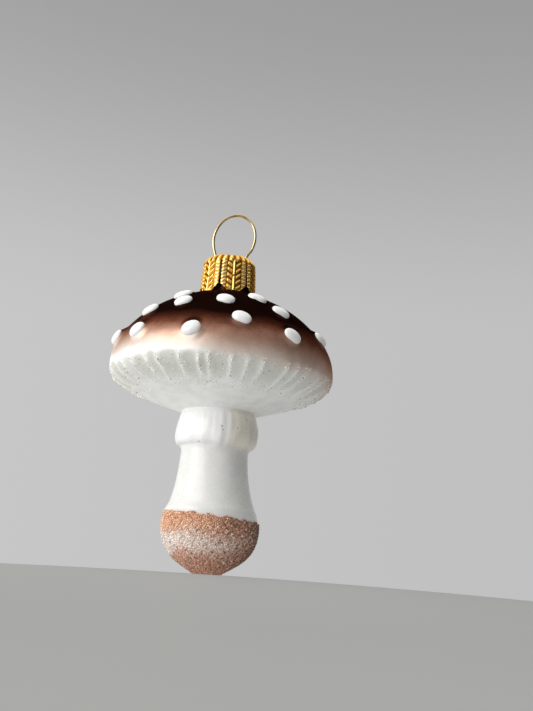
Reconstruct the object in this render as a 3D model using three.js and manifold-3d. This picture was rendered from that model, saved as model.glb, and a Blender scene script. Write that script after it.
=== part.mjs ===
// Blown glass mushroom ornament with a stamped metal crown and a wire hanger loop.
// Millimetres, +Z up. The axis of the mushroom is the Z axis and the foot stands on z = 0.
// A height of one part is measured from the top of the part below it.
import * as THREE from "three";
import { mergeVertices } from "three/addons/utils/BufferGeometryUtils.js";
import Module from "manifold-3d";

// Height of the glass mushroom without its neck. The stem takes what the other parts leave of it.
const FIGURE_HEIGHT = 67.1;

// Glass: one hollow piece from the foot bulb to the neck under the crown.
const WALL = 1.0;
const ROUND_STEPS = 40;
const HOLLOW_STEPS = 24;

// Foot bulb, measured outside its coat of glass beads. The toe curves up from the flat it stands on.
// The coat's upper edge lies below the top of the bulb and leans, lower on the +X side.
const FOOT_FLAT_RADIUS = 3.0;
const BULB_RADIUS = 11.2;
const BULB_HEIGHT = 14.0;
const TOE_REACH = 4.0;
const TOE_RISE = 2.6;
const BULB_SWELL = 1.6;
const BULB_SWELL_START = 4.2;
const COAT_THICKNESS = 0.45;
const COAT_GAP = 0.15;
const COAT_EDGE_DROP = 1.0;
const COAT_EDGE_LEAN = 4.5;

// Stem, hollowed towards its waist, and the collar above it: a short bevel from the waist to a lip,
// a roll from the lip out to the widest place, and a body that tapers to the top.
const STEM_HOLLOW_SHARE = 0.38;
const STEM_HOLLOW_RADIUS = 8.2;
const WAIST_RADIUS = 7.9;
const COLLAR_HEIGHT = 9.7;
const COLLAR_RADIUS = 9.75;
const COLLAR_TOP_RADIUS = 8.8;
const COLLAR_LIP_RISE = 1.45;
const COLLAR_LIP_INSET = 1.15;
const COLLAR_ROLL_START = 0.65;
const COLLAR_WIDEST_RISE = 4.1;
const COLLAR_TAPER_START = 2.2;

// Cap: ribbed underside, short upright side, domed top.
const RIM_RADIUS = 26.8;
const UNDERSIDE_RISE = 9.3;
const UNDERSIDE_ROOT_RUN = 10.0;
const UNDERSIDE_ROOT_RISE = 3.2;
const UNDERSIDE_RIM_DROP = 3.8;
const SIDE_HEIGHT = 6.3;
const SIDE_UPRIGHT = 3.5;
const SHOULDER_INSET = 1.4;
const SHOULDER_ROUND = 0.9;
const DOME_RISE = 13.8;

// Gills: low fins moulded under the cap, out to its rim. Each station is a share of the gill's length
// and the share of its depth there.
const GILL_COUNT = 40;
const GILL_WIDTH = 0.9;
const GILL_DEPTH = 0.5;
const GILL_ROOT = 0.45;
const GILL_START_GAP = 4.6;
const GILL_END_GAP = 0.2;
const GILL_STATIONS = [[0, 0.5], [0.35, 1], [0.6, 1], [0.8, 0.8], [1, 0.4]];

// Neck that the crown is pushed on.
const NECK_RADIUS = 5.1;
const NECK_WALL = 0.9;
const NECK_HEIGHT = 8.8;
const NECK_FILLET = 0.8;
const NECK_RIM_ROUND = 0.6;

// Moulded bumps, which run on into the glass, and the enamel drops on them. Each place is an azimuth
// in degrees, counted from the front (-Y) towards +X, and a height: 0 to 1 up the dome to its apex,
// 0 to -1 down the cap's side.
const BUMP_RADIUS = 3.6;
const BUMP_HEIGHT = 0.8;
const BUMP_SKIRT = 0.4;
const BUMP_ROOT = 1.1;
const DROP_RADIUS = 2.05;
const DROP_THICKNESS = 0.38;
const DROP_EDGE = 0.14;
const DROP_GAP = 0.12;
const DROP_PLACES = [
  [-48, -0.37], [-51, 0.28], [-28, 0.39], [-1, 0.45], [8, 0.05], [-16, -0.49],
  [23, 0.59], [35, 0.34], [35, -0.34], [63, 0.04], [-36, 0.6], [-72, -0.33],
  [100, 0.36], [98, 0.72], [104, 0.04], [112, -0.42], [118, 0.42], [130, 0.05],
  [138, 0.64], [150, 0.26], [154, -0.4], [174, 0.02], [178, 0.47], [196, -0.38],
  [200, 0.24], [212, 0.64], [220, -0.04], [232, 0.32], [243, -0.38], [252, 0.07],
  [256, 0.55],
];

// Crown: a thin stamped cup with six leaves, split by slits that end in pointed notches.
const SHEET = 0.3;
const CROWN_CLEARANCE = 0.9;
const CROWN_SEAT_GAP = 0.3;
const CROWN_FLARE = 0.4;
const CROWN_SHOULDER = 2.3;
const LEAF_COUNT = 6;
const FLUTES_PER_LEAF = 4;
const FLUTE_DEPTH = 0.14;
const SLIT_AZIMUTH = -19;
const SLIT_WIDTH = 0.45;
const SLIT_TOP_GAP = 2.2;
const NOTCH_HALF_WIDTH = 1.9;
const NOTCH_HEIGHT = 1.9;

// Hanger: one spring wire, a leaning oval loop with two straight legs inside the neck.
const WIRE_RADIUS = 0.35;
const WIRE_SIDES = 8;
const WIRE_STEPS = 48;
const HOLE_CLEARANCE = 0.3;
const LEG_CLEARANCE = 0.55;
const LEG_LENGTH = 13.0;
const LEG_BEND_DEPTH = 1.0;
const LOOP_HALF_WIDTH = 5.05;
const LOOP_HALF_LENGTH = 6.5;
const LOOP_LEAN = 15;
const LOOP_CENTRE_RISE = 5.6;
const LOOP_CENTRE_OFFSET = 0.65;
const LOOP_START = 215;
const LOOP_END = -30;
const LOOP_POINTS = 14;

// How far a cutting shape runs past what it cuts.
const CUT_MARGIN = 0.5;

const wasm = await Module();
wasm.setup();

const part = new THREE.Group();
const point = (r, z) => new THREE.Vector2(r, z);
const radians = THREE.MathUtils.degToRad;
const FULL_TURN = 360;

// Turns a geometry into a closed solid for joining and cutting.
function solid(geometry) {
  const plain = geometry.clone();
  plain.deleteAttribute("normal");
  plain.deleteAttribute("uv");
  const merged = mergeVertices(plain, 1e-4);
  const faces = [];
  const index = merged.index.array;
  for (let i = 0; i < index.length; i += 3) {
    const [a, b, c] = [index[i], index[i + 1], index[i + 2]];
    if (a !== b && b !== c && c !== a) faces.push(a, b, c);
  }
  const vertProperties = merged.attributes.position.array;
  const mesh = new wasm.Mesh({ numProp: 3, vertProperties, triVerts: new Uint32Array(faces) });
  return new wasm.Manifold(mesh);
}

// Turns a solid back into a geometry.
function geometryOf(made) {
  const mesh = made.getMesh();
  const geometry = new THREE.BufferGeometry();
  geometry.setAttribute("position", new THREE.BufferAttribute(mesh.vertProperties, 3));
  geometry.setIndex(new THREE.BufferAttribute(mesh.triVerts, 1));
  return geometry;
}

// Revolves a profile of (radius, height) points about the Z axis.
function revolve(profile, steps) {
  return new THREE.LatheGeometry(profile, steps).rotateX(Math.PI / 2);
}

// Moves a profile sideways by a distance, to its left as it runs; an end on the axis stays on it.
function offset(profile, distance) {
  return profile.map((p, i) => {
    const before = profile[Math.max(i - 1, 0)];
    const after = profile[Math.min(i + 1, profile.length - 1)];
    const along = after.clone().sub(before).normalize();
    return point(p.x === 0 ? 0 : p.x - along.y * distance, p.y + along.x * distance);
  });
}

// Copies a solid a number of times around the Z axis, the first one at a start angle.
function around(piece, count, start) {
  return Array.from({ length: count }, (_, i) => piece.rotate([0, 0, start + (FULL_TURN * i) / count]));
}

function add(name, geometry, color, roughness, metalness) {
  const mesh = new THREE.Mesh(geometry, new THREE.MeshStandardMaterial({ color, roughness, metalness }));
  mesh.name = name;
  part.add(mesh);
  return mesh;
}

// Heights up the axis.
const capHeight = UNDERSIDE_RISE + SIDE_HEIGHT + DOME_RISE;
const stemHeight = FIGURE_HEIGHT - BULB_HEIGHT - COLLAR_HEIGHT - capHeight;
const waistZ = BULB_HEIGHT + stemHeight;
const collarTopZ = waistZ + COLLAR_HEIGHT;
const rimZ = collarTopZ + UNDERSIDE_RISE;
const shoulderZ = rimZ + SIDE_HEIGHT;
const apexZ = shoulderZ + DOME_RISE;
const neckTopZ = apexZ + NECK_HEIGHT;
const crownTopZ = neckTopZ + CROWN_SEAT_GAP + SHEET;

// The dome is a part of a ball through the shoulder and the apex; it ends where the shoulder rounds off.
const shoulderRadius = RIM_RADIUS - SHOULDER_INSET;
const domeRadius = (shoulderRadius ** 2 + DOME_RISE ** 2) / (2 * DOME_RISE);
const domeCentreZ = apexZ - domeRadius;
const domeZ = (r) => domeCentreZ + Math.sqrt(domeRadius ** 2 - r ** 2);
const domeAngle = (r) => Math.asin(r / domeRadius);
const domeEdge = shoulderRadius - SHOULDER_ROUND / 2;
const domeEdgeZ = domeZ(domeEdge);
const neckFoot = NECK_RADIUS + NECK_FILLET;
const neckFootZ = domeZ(neckFoot);

// Curves of the outside, from the foot up.
const bulbCurve = new THREE.CubicBezierCurve(
  point(FOOT_FLAT_RADIUS, 0),
  point(FOOT_FLAT_RADIUS + TOE_REACH, TOE_RISE),
  point(BULB_RADIUS + BULB_SWELL, BULB_SWELL_START),
  point(BULB_RADIUS, BULB_HEIGHT),
);
const coatProfile = (steps) => [point(0, 0), ...bulbCurve.getPoints(steps)];
const bulbProfile = (steps) => offset(coatProfile(steps), COAT_THICKNESS + COAT_GAP);
const bulbTop = bulbProfile(1).pop();
const stemCurve = new THREE.QuadraticBezierCurve(
  bulbTop,
  point(STEM_HOLLOW_RADIUS, BULB_HEIGHT + STEM_HOLLOW_SHARE * stemHeight),
  point(WAIST_RADIUS, waistZ),
);
const collarLip = point(COLLAR_RADIUS - COLLAR_LIP_INSET, waistZ + COLLAR_LIP_RISE);
const collarWidest = point(COLLAR_RADIUS, waistZ + COLLAR_WIDEST_RISE);
const collarTop = point(COLLAR_TOP_RADIUS, collarTopZ);
const rollCurve = new THREE.QuadraticBezierCurve(
  collarLip,
  point(COLLAR_RADIUS, collarLip.y + COLLAR_ROLL_START),
  collarWidest,
);
const collarCurve = new THREE.QuadraticBezierCurve(
  collarWidest,
  point(COLLAR_RADIUS, collarWidest.y + COLLAR_TAPER_START),
  collarTop,
);
const underCurve = new THREE.CubicBezierCurve(
  collarTop,
  point(COLLAR_TOP_RADIUS + UNDERSIDE_ROOT_RUN, collarTopZ + UNDERSIDE_ROOT_RISE),
  point(RIM_RADIUS, rimZ - UNDERSIDE_RIM_DROP),
  point(RIM_RADIUS, rimZ),
);
const sideCurve = new THREE.CubicBezierCurve(
  point(RIM_RADIUS, rimZ),
  point(RIM_RADIUS, rimZ + SIDE_UPRIGHT),
  point(shoulderRadius + SHOULDER_ROUND / 2, shoulderZ - SHOULDER_ROUND),
  point(domeEdge, domeEdgeZ),
);
const domeCurve = new THREE.EllipseCurve(
  0,
  domeCentreZ,
  domeRadius,
  domeRadius,
  Math.PI / 2 - domeAngle(domeEdge),
  Math.PI / 2 - domeAngle(neckFoot),
);

// Outside of the glass from the foot to the neck, with a number of steps for each curve.
const outside = (steps) => [
  ...bulbProfile(steps.bulb),
  ...stemCurve.getPoints(steps.stem).slice(1),
  ...rollCurve.getPoints(steps.roll),
  ...collarCurve.getPoints(steps.collar).slice(1),
  ...underCurve.getPoints(steps.under).slice(1),
  ...sideCurve.getPoints(steps.side).slice(1),
  ...domeCurve.getPoints(steps.dome).slice(1),
];
const bulbSteps = 6;
const outerProfile = [
  ...outside({ bulb: bulbSteps, stem: 3, roll: 3, collar: 3, under: 5, side: 4, dome: 5 }),
  point(NECK_RADIUS, neckFootZ + NECK_FILLET),
  point(NECK_RADIUS, neckTopZ - NECK_RIM_ROUND),
  point(NECK_RADIUS - NECK_RIM_ROUND, neckTopZ),
  point(0, neckTopZ),
];

// The hollow follows the outside at the wall's thickness and runs out through the neck.
const boreRadius = NECK_RADIUS - NECK_WALL;
const innerProfile = [
  ...offset(outside({ bulb: 4, stem: 2, roll: 2, collar: 2, under: 4, side: 2, dome: 4 }), WALL),
  point(boreRadius, neckFootZ - WALL / 2),
  point(boreRadius, neckTopZ + CUT_MARGIN),
  point(0, neckTopZ + CUT_MARGIN),
];

// One gill: a low fin that follows the underside.
function gill() {
  const first = COLLAR_TOP_RADIUS + GILL_START_GAP;
  const last = RIM_RADIUS - GILL_END_GAP;
  const line = underCurve.getPoints(48).filter((p) => p.x > first && p.x < last);
  const stations = GILL_STATIONS.map(([share]) => line[Math.round(share * (line.length - 1))]);
  const root = offset(stations, GILL_ROOT);
  const edge = GILL_STATIONS.map(([, depth], i) => offset(stations, -depth * GILL_DEPTH)[i]);
  const shape = new THREE.Shape([...edge, ...root.reverse()]);
  const fin = new THREE.ExtrudeGeometry(shape, { depth: GILL_WIDTH, bevelEnabled: false });
  return solid(fin.translate(0, 0, -GILL_WIDTH / 2).rotateX(Math.PI / 2));
}

// Place of a drop on the cap: its local Z points straight out of the glass.
function dropPlace([azimuth, height]) {
  const domeHeight = domeEdgeZ + height * (apexZ - domeEdgeZ);
  const domeLean = Math.acos(Math.min((domeHeight - domeCentreZ) / domeRadius, 1));
  const domePoint = point(domeRadius * Math.sin(domeLean), domeHeight);
  const upSide = sideCurve.getTangent(1 + Math.min(height, 0));
  const onSide = height < 0;
  const spot = onSide ? sideCurve.getPoint(1 + height) : domePoint;
  const lean = onSide ? Math.atan2(upSide.y, -upSide.x) : domeLean;
  const turn = radians(azimuth) - Math.PI / 2;
  return new THREE.Matrix4()
    .makeTranslation(spot.x * Math.cos(turn), spot.x * Math.sin(turn), spot.y)
    .multiply(new THREE.Matrix4().makeRotationZ(turn))
    .multiply(new THREE.Matrix4().makeRotationY(lean));
}

// Height of the bump's ball above the glass at a distance from the bump's middle.
const bumpBall = (BUMP_RADIUS ** 2 + BUMP_HEIGHT ** 2) / (2 * BUMP_HEIGHT);
const bumpZ = (r) => Math.sqrt(bumpBall ** 2 - r ** 2) - bumpBall + BUMP_HEIGHT;
const bumpReach = BUMP_RADIUS + BUMP_SKIRT;
const bumpSides = 8;
const bumpProfile = [
  point(0, -BUMP_ROOT),
  point(bumpReach, -BUMP_ROOT),
  ...[bumpReach, BUMP_RADIUS / 2, 0].map((r) => point(r, bumpZ(r))),
];
const bump = solid(revolve(bumpProfile, bumpSides));

// Drop: its underside follows the bump, its top is a rounder cap.
function dropPoint(share, thickness) {
  const r = DROP_RADIUS * share;
  return point(r, bumpZ(r) + DROP_GAP + thickness);
}
const dropSwell = DROP_THICKNESS - DROP_EDGE;
const dropProfile = [
  ...[0, 0.5, 1].map((share) => dropPoint(share, 0)),
  ...[1, 0.85, 0.5, 0].map((share) => dropPoint(share, DROP_EDGE + dropSwell * Math.sqrt(1 - share ** 2))),
];

// Glass body: the outside with its gills and bumps, less the hollow.
const places = DROP_PLACES.map(dropPlace);
const fins = around(gill(), GILL_COUNT, FULL_TURN / GILL_COUNT / 2);
const bumps = places.map((place) => bump.transform(place.elements));
const full = wasm.Manifold.union([solid(revolve(outerProfile, ROUND_STEPS)), ...fins, ...bumps]);
const glass = full.subtract(solid(revolve(innerProfile, HOLLOW_STEPS)));
add("glass_body", geometryOf(glass), 0xd9d8d0, 0.3, 0);

// Coat of fine glass beads on the foot bulb, cut off at its leaning upper edge.
const coatOutside = coatProfile(bulbSteps);
const coatInside = offset(coatOutside, COAT_THICKNESS).reverse();
const coatLean = radians(COAT_EDGE_LEAN);
const coatKept = [-Math.sin(coatLean), 0, -Math.cos(coatLean)];
const coatReach = (COAT_EDGE_DROP - BULB_HEIGHT) * Math.cos(coatLean);
const coat = solid(revolve([...coatOutside, ...coatInside], ROUND_STEPS)).trimByPlane(coatKept, coatReach);
add("foot_bead_coat", geometryOf(coat), 0x9a6244, 0.5, 0);

// Enamel drops.
places.forEach((place, i) => {
  const name = "enamel_drop_" + String(i + 1).padStart(2, "0");
  const drop = add(name, revolve(dropProfile, bumpSides), 0xf4f3ef, 0.25, 0);
  drop.applyMatrix4(place);
});

// Crown: a fluted cup, cut by the slits and the two holes for the wire.
const crownRadius = NECK_RADIUS + CROWN_CLEARANCE + FLUTE_DEPTH + SHEET;
const skirtRadius = crownRadius + CROWN_FLARE;
const skirtZ = domeZ(skirtRadius - SHEET) + CROWN_SEAT_GAP;
const crownFlat = crownRadius - CROWN_SHOULDER - SHEET;
const crownCurve = new THREE.CubicBezierCurve(
  point(crownRadius, crownTopZ - CROWN_SHOULDER),
  point(crownRadius, crownTopZ - CROWN_SHOULDER / 2),
  point(crownRadius - CROWN_SHOULDER / 2, crownTopZ),
  point(crownFlat, crownTopZ),
);
const crownOutside = [point(skirtRadius, skirtZ), ...crownCurve.getPoints(4), point(0, crownTopZ)];
const crownInside = offset(crownOutside, SHEET).reverse();
crownInside[crownInside.length - 1].y = skirtZ;
const fluteCount = LEAF_COUNT * FLUTES_PER_LEAF;
const cup = revolve([...crownInside, ...crownOutside], fluteCount * 2);
const cupPoints = cup.attributes.position;
for (let i = 0; i < cupPoints.count; i += 1) {
  const [x, y] = [cupPoints.getX(i), cupPoints.getY(i)];
  const r = Math.hypot(x, y);
  const edge = THREE.MathUtils.smoothstep(r, crownFlat, crownRadius - SHEET);
  const angle = Math.atan2(y, x) + Math.PI / 2 - radians(SLIT_AZIMUTH);
  const swell = r > 0 ? 1 - (FLUTE_DEPTH * edge * Math.cos(fluteCount * angle)) / r : 1;
  cupPoints.setXY(i, x * swell, y * swell);
}
const slitTopZ = crownTopZ - SLIT_TOP_GAP;
const slitShape = new THREE.Shape([
  point(-NOTCH_HALF_WIDTH - CUT_MARGIN, skirtZ - CUT_MARGIN),
  point(NOTCH_HALF_WIDTH + CUT_MARGIN, skirtZ - CUT_MARGIN),
  point(SLIT_WIDTH / 2, skirtZ + NOTCH_HEIGHT),
  point(SLIT_WIDTH / 2, slitTopZ),
  point(-SLIT_WIDTH / 2, slitTopZ),
  point(-SLIT_WIDTH / 2, skirtZ + NOTCH_HEIGHT),
]);
const slitDepth = skirtRadius + CUT_MARGIN - NECK_RADIUS;
const slit = new THREE.ExtrudeGeometry(slitShape, { depth: slitDepth, bevelEnabled: false });
slit.rotateX(Math.PI / 2).translate(0, -NECK_RADIUS, 0);
const slits = around(solid(slit), LEAF_COUNT, SLIT_AZIMUTH);
const holeX = boreRadius - WIRE_RADIUS - LEG_CLEARANCE;
const holeRadius = WIRE_RADIUS + HOLE_CLEARANCE;
const drill = new THREE.CylinderGeometry(holeRadius, holeRadius, 2 * (SHEET + CUT_MARGIN), 12);
const holes = [-1, 1].map((side) =>
  solid(drill.clone().rotateX(Math.PI / 2).translate(side * holeX, 0, crownTopZ)),
);
const crown = solid(cup).subtract(wasm.Manifold.union([...slits, ...holes]));
add("crown_cap", geometryOf(crown), 0xc79a45, 0.3, 1);

// Hanger wire: left leg, oval loop, right leg, all in the plane y = 0.
const lean = radians(LOOP_LEAN);
function loopPoint(degrees) {
  const across = LOOP_HALF_WIDTH * Math.cos(radians(degrees));
  const up = LOOP_HALF_LENGTH * Math.sin(radians(degrees));
  return new THREE.Vector3(
    LOOP_CENTRE_OFFSET + across * Math.cos(lean) + up * Math.sin(lean),
    0,
    crownTopZ + LOOP_CENTRE_RISE - across * Math.sin(lean) + up * Math.cos(lean),
  );
}
const legDepths = [LEG_LENGTH, LEG_LENGTH / 2, LEG_BEND_DEPTH];
const leg = (side) => legDepths.map((depth) => new THREE.Vector3(side * holeX, 0, crownTopZ - depth));
const loop = Array.from({ length: LOOP_POINTS + 1 }, (_, i) =>
  loopPoint(LOOP_START + ((LOOP_END - LOOP_START) * i) / LOOP_POINTS),
);
const wirePath = new THREE.CatmullRomCurve3([...leg(-1), ...loop, ...leg(1).reverse()]);
const wireSection = new THREE.Shape().absarc(0, 0, WIRE_RADIUS, 0, 2 * Math.PI);
const wire = new THREE.ExtrudeGeometry(wireSection, {
  steps: WIRE_STEPS,
  curveSegments: WIRE_SIDES / 2,
  extrudePath: wirePath,
});
add("hanger_wire", wire, 0xcfc49a, 0.25, 1);

export default part;
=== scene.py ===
# Looks of a blown glass mushroom ornament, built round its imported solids.
# Sizes are in millimetres and meshes are made in metres. The axis of the mushroom is Z and the foot
# stands on z = 0. Profiles are rows of (radius, height). Azimuths run from the front (-Y) towards +X.
import math

import bpy
import numpy as np
from mathutils import Matrix, Vector

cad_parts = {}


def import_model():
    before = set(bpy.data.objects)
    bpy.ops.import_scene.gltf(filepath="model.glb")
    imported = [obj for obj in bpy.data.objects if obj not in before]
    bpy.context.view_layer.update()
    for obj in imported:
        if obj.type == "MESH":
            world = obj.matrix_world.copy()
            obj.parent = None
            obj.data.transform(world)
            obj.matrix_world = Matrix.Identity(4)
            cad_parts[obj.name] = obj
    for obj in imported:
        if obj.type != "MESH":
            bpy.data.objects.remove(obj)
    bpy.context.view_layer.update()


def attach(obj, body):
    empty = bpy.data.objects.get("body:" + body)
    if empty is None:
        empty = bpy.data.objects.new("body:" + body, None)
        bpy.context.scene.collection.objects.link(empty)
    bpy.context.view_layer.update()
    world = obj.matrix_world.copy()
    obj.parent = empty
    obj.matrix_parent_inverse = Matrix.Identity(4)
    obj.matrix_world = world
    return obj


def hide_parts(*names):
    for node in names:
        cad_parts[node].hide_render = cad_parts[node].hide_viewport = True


MM = 0.001
FULL_TURN = 2 * math.pi
QUARTER_TURN = math.pi / 2
MAP_NAME = "OFBake"

# Camera, at the photograph's viewing angle.
CAMERA_PLACE = (0.0, -224.0, -3.0)
CAMERA_LENS = 48.1
CAMERA_NEAR = 10.0
CAMERA_YAW = 2.699
CAMERA_PITCH = 13.99
CAMERA_ROLL = 3.696

# Stage and light.
FLOOR_BALL = 2000.0
FLOOR_REACH = 1500.0
FLOOR_NEAR = 150.0
FLOOR_FAR = 500.0
FLOOR_GAP = 0.02
FLOOR_COLUMNS = 128
BACKDROP_COLOUR = (0.555, 0.555, 0.55)
# Glow of the floor for diffuse rays only, from left to right: a painted light that lights the object from
# below.
BOUNCE_LEFT = 0.94
BOUNCE_RIGHT = 0.39
BOUNCE_REACH = 150.0
KEY_PLACE = (-480.0, -330.0, 240.0)
KEY_TARGET = (0.0, 0.0, 45.0)
KEY_WIDTH = 640.0
KEY_HEIGHT = 520.0
KEY_POWER = 2.9
KEY_COLOUR = (1.0, 0.985, 0.96)

# Brightness of the room from the left (0) to the right (1), and the shares of it from the floor's level
# (0) to straight overhead (1), and from behind the camera (0) to the backdrop (1).
ROOM_LEVELS = [(0.0, 1.0), (0.32, 0.57), (0.68, 0.53), (1.0, 0.10)]
HEIGHT_SHARES = [(0.0, 1.0), (0.25, 1.0), (0.60, 0.62), (0.76, 2.6)]
DEPTH_SHARES = [(0.0, 0.5), (0.5, 0.8), (0.75, 1.0)]

# Range that most of a noise lies in.
NOISE_RANGE = (0.3, 0.7)

# Glass, from the foot up.
WALL = 1.0
FOOT_FLAT_RADIUS = 3.0
BULB_RADIUS = 11.2
BULB_HEIGHT = 14.0
TOE = (7.0, 2.6)
BULB_SWELL = (12.8, 4.2)
COAT_THICKNESS = 0.45
COAT_GAP = 0.15
COAT_EDGE_HEIGHT = 13.0
COAT_EDGE_LEAN = 4.5
STEM_FOOT = (10.66, 14.1)
STEM_HOLLOW = (8.2, 19.32)
WAIST = (7.9, 28.0)
BEVEL = [WAIST, (8.0, 28.6), (8.2, 29.1), (8.56, 29.42)]
COLLAR_LIP = (8.6, 29.45)
COLLAR_ROLL = (9.75, 30.1)
COLLAR_WIDEST = (9.75, 32.1)
COLLAR_TAPER = (9.75, 34.3)
COLLAR_TOP = (8.8, 37.7)
GROOVE_HEIGHT = 37.3
GROOVE_DEPTH = 0.3
GROOVE_HALF_WIDTH = 0.3
UNDERSIDE_ROOT = (18.8, 40.9)
RIM_RADIUS = 26.8
RIM_HEIGHT = 47.0
UNDERSIDE_RIM_DROP = 3.8
SIDE_UPRIGHT = 3.5
SHOULDER_RADIUS = 25.4
SHOULDER_HEIGHT = 53.3
SHOULDER_ROUND = 0.9
APEX_HEIGHT = 67.1
NECK_RADIUS = 5.1
NECK_WALL = 0.9
NECK_TOP = 75.9
NECK_FILLET = 0.8

# Rows of the neck, as steps from its foot and from its rim.
NECK_FOOT_STEPS = [(0.3, 0.25), (0.05, 0.6), (0.0, 1.1), (0.0, 3.0), (0.0, 5.5)]
NECK_RIM_STEPS = [(0.0, -0.6), (-0.2, -0.15), (-0.45, 0.0)]

# How many steps each part of the glass has outside and in the hollow, and its columns. Fine steps are
# for measuring. Glass that passes the limit by less than the slack is pulled back to it.
OUTSIDE_STEPS = {"stem": 12, "collar": 3, "under": 62, "side": 20, "dome": 38}
HOLLOW_STEPS = {"stem": 2, "collar": 1, "under": 5, "side": 2, "dome": 4}
BULB_STEPS = 48
FINE_STEPS = 400
SIDE_STEPS = 200
GLASS_COLUMNS = 450
REACH_LIMIT = RIM_RADIUS - 0.005
REACH_SLACK = 0.5

# Unevenness of the glass: how far its lumps stand out, the lip above the foot's coat, and sideways bends
# of the axis as shift, height and half length.
STEM_LUMP = 0.05
COLLAR_LUMP = 0.075
COLLAR_CREASE = 0.025
CAP_LUMP = 0.06
COAT_LIP = 0.28
COAT_LIP_RISE = 0.5
COAT_LIP_HALF_WIDTH = 0.8
AXIS_BENDS = [(0.25, 33.5, 4.5), (-0.3, 27.0, 9.0)]

# Small pits in the collar, seen and guessed: azimuth in degrees, height and radius. Upright folds in
# it: azimuth in degrees, how far they stand out and half their width.
PITS = [
    (-26, 29.5, 0.24), (6, 33.2, 0.32), (8, 32.4, 0.24), (29, 33.2, 0.2), (46, 35.6, 0.26),
    (30, 30.4, 0.2), (-60, 34.8, 0.16), (78, 31.5, 0.2), (104, 35.0, 0.24), (131, 32.2, 0.2),
    (160, 34.1, 0.3), (188, 31.2, 0.2), (215, 35.3, 0.22), (240, 32.8, 0.26), (262, 34.0, 0.18),
]
PIT_DEPTH = 0.14
FOLDS = [
    (5, 0.13, 1.3), (19, 0.1, 0.6), (32, 0.08, 0.7), (54, 0.07, 1.0), (-58, 0.05, 1.2),
    (97, 0.1, 0.9), (142, 0.07, 1.1), (188, 0.12, 0.8), (221, 0.08, 1.0), (263, 0.06, 0.8),
]

# Gills under the cap, the knobs at their ends and the valleys between them, which end in arches under
# the rim. Starts are measured along the underside from the collar, ends and reaches in from the rim.
# The valleys are deepest about an angle of FRONT_VALLEYS degrees.
GILL_COUNT = 40
GILL_HEIGHT = 0.36
GILL_HALF_WIDTH = 0.25
GILL_SWAY = 2.8
GILL_STARTS = (8.0, 13.5)
GILL_RISE = 4.5
GILL_END = 3.6
GILL_FALL = 2.6
KNOB_PLACE = 2.4
KNOB_HEIGHT = 0.3
KNOB_HALF_LENGTH = 0.8
KNOB_HALF_WIDTH = 0.55
ARCH_FOOT = 2.6
ARCH_RISE = 2.2
ARCH_FADE = 1.7
VALLEY_DEPTH = 0.22
VALLEY_REACH = 10.5
VALLEY_FADE = 6.5
VALLEY_EDGE = 0.8
FRONT_VALLEYS = 258.0
FRONT_SPREAD = 22
DUST_REACH = 13.0
DUST_FADE = 6.0

# Glass grains on the gills and, loose, between them; their tints and how often each is picked.
GRAINS_PER_GILL = 34
LOOSE_GRAINS = 1200
LOOSE_REACH = 11.0
GRAIN_RADII = (0.08, 0.18)
GRAIN_LIFT = 0.03
GRAIN_SPREAD = 0.22
GRAIN_TINTS = np.array([(0.97, 0.97, 0.95), (0.92, 0.91, 0.86), (0.62, 0.46, 0.20), (0.14, 0.11, 0.08)])
GRAIN_ODDS = [0.77, 0.16, 0.05, 0.02]

# Sprayed brown paint: the height where it is faint at the front, how far that leans down to the right,
# the height where it is full, and the paint on the neck, kept lighter than the top as painted light in
# the crown's shade.
SPRAY_START = 46.1
SPRAY_LEAN = 2.1
SPRAY_LUMP = 0.3
SPRAY_FULL = 59.5
SPRAY_FAINT = 0.16
NECK_SPRAY = 0.66
NECK_SPRAY_TOP = 69.5
NECK_SPRAY_FADE = 1.5

# Moulded bumps and the enamel drops on them. The middle of a bump lies a little above that of its drop.
# The underside of a bump takes less paint and its upper side more: partly shelter from the spray, partly
# a painted highlight below the bump and painted shade above it.
BUMP_RADIUS = 3.5
BUMP_HEIGHT = 1.0
BUMP_RISE = 0.5
BUMP_REACH = 3.0
BUMP_SHELTER_AND_LIGHT = 0.7
DROP_RADIUS = 1.9
DROP_THICKNESS = 0.44
DROP_EDGE = 0.06
DROP_SINK = 0.1
DROP_TILT = 0.45
DROP_ROUND = 2.4
DROP_SEGMENTS = 32
DROP_RINGS = np.array([0.2, 0.4, 0.58, 0.73, 0.85, 0.93, 0.98, 1.0])
SIDE_ROUND = 12.0

# Places of the drops: azimuth in degrees, and a height that is 0 to 1 up the dome to its apex and 0 to
# -1 down the cap's side.
DROP_PLACES = [
    (-48, -0.37), (-51, 0.28), (-28, 0.39), (-1, 0.45), (8, 0.05), (-16, -0.49),
    (23, 0.59), (35, 0.34), (35, -0.34), (63, 0.04), (-36, 0.6), (-72, -0.33),
    (100, 0.36), (98, 0.72), (104, 0.04), (112, -0.42), (118, 0.42), (130, 0.05),
    (138, 0.64), (150, 0.26), (154, -0.4), (174, 0.02), (178, 0.47), (196, -0.38),
    (200, 0.24), (212, 0.64), (220, -0.04), (232, 0.32), (243, -0.38), (252, 0.07),
    (256, 0.55),
]

# Coat of fine glass beads on the foot: the bed that they sit in and the beads.
BED_DEPTH = 0.17
BED_RAGGED = 0.2
BED_COLUMNS = 180
BED_ROWS = 40
FLAT_ROWS = 60
BEAD_SPACING = 0.4
BEAD_RADIUS = 0.235
# The beads' colours hold painted light and shade: a pale band and orange above, both lighter on the lit
# side, and darker beads on the shaded side and at the toe.
PALE_HEIGHT = 6.8
PALE_HALF_WIDTH = 2.2
ORANGE_HEIGHT = 8.0
TOE_HEIGHT = 5.0
BEAD_BROWN = np.array([0.76, 0.36, 0.22])
BEAD_ORANGE = np.array([1.0, 0.52, 0.28])
BEAD_PALE = np.array([1.0, 0.89, 0.81])
BEAD_DARK = np.array([0.13, 0.045, 0.02])

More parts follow.
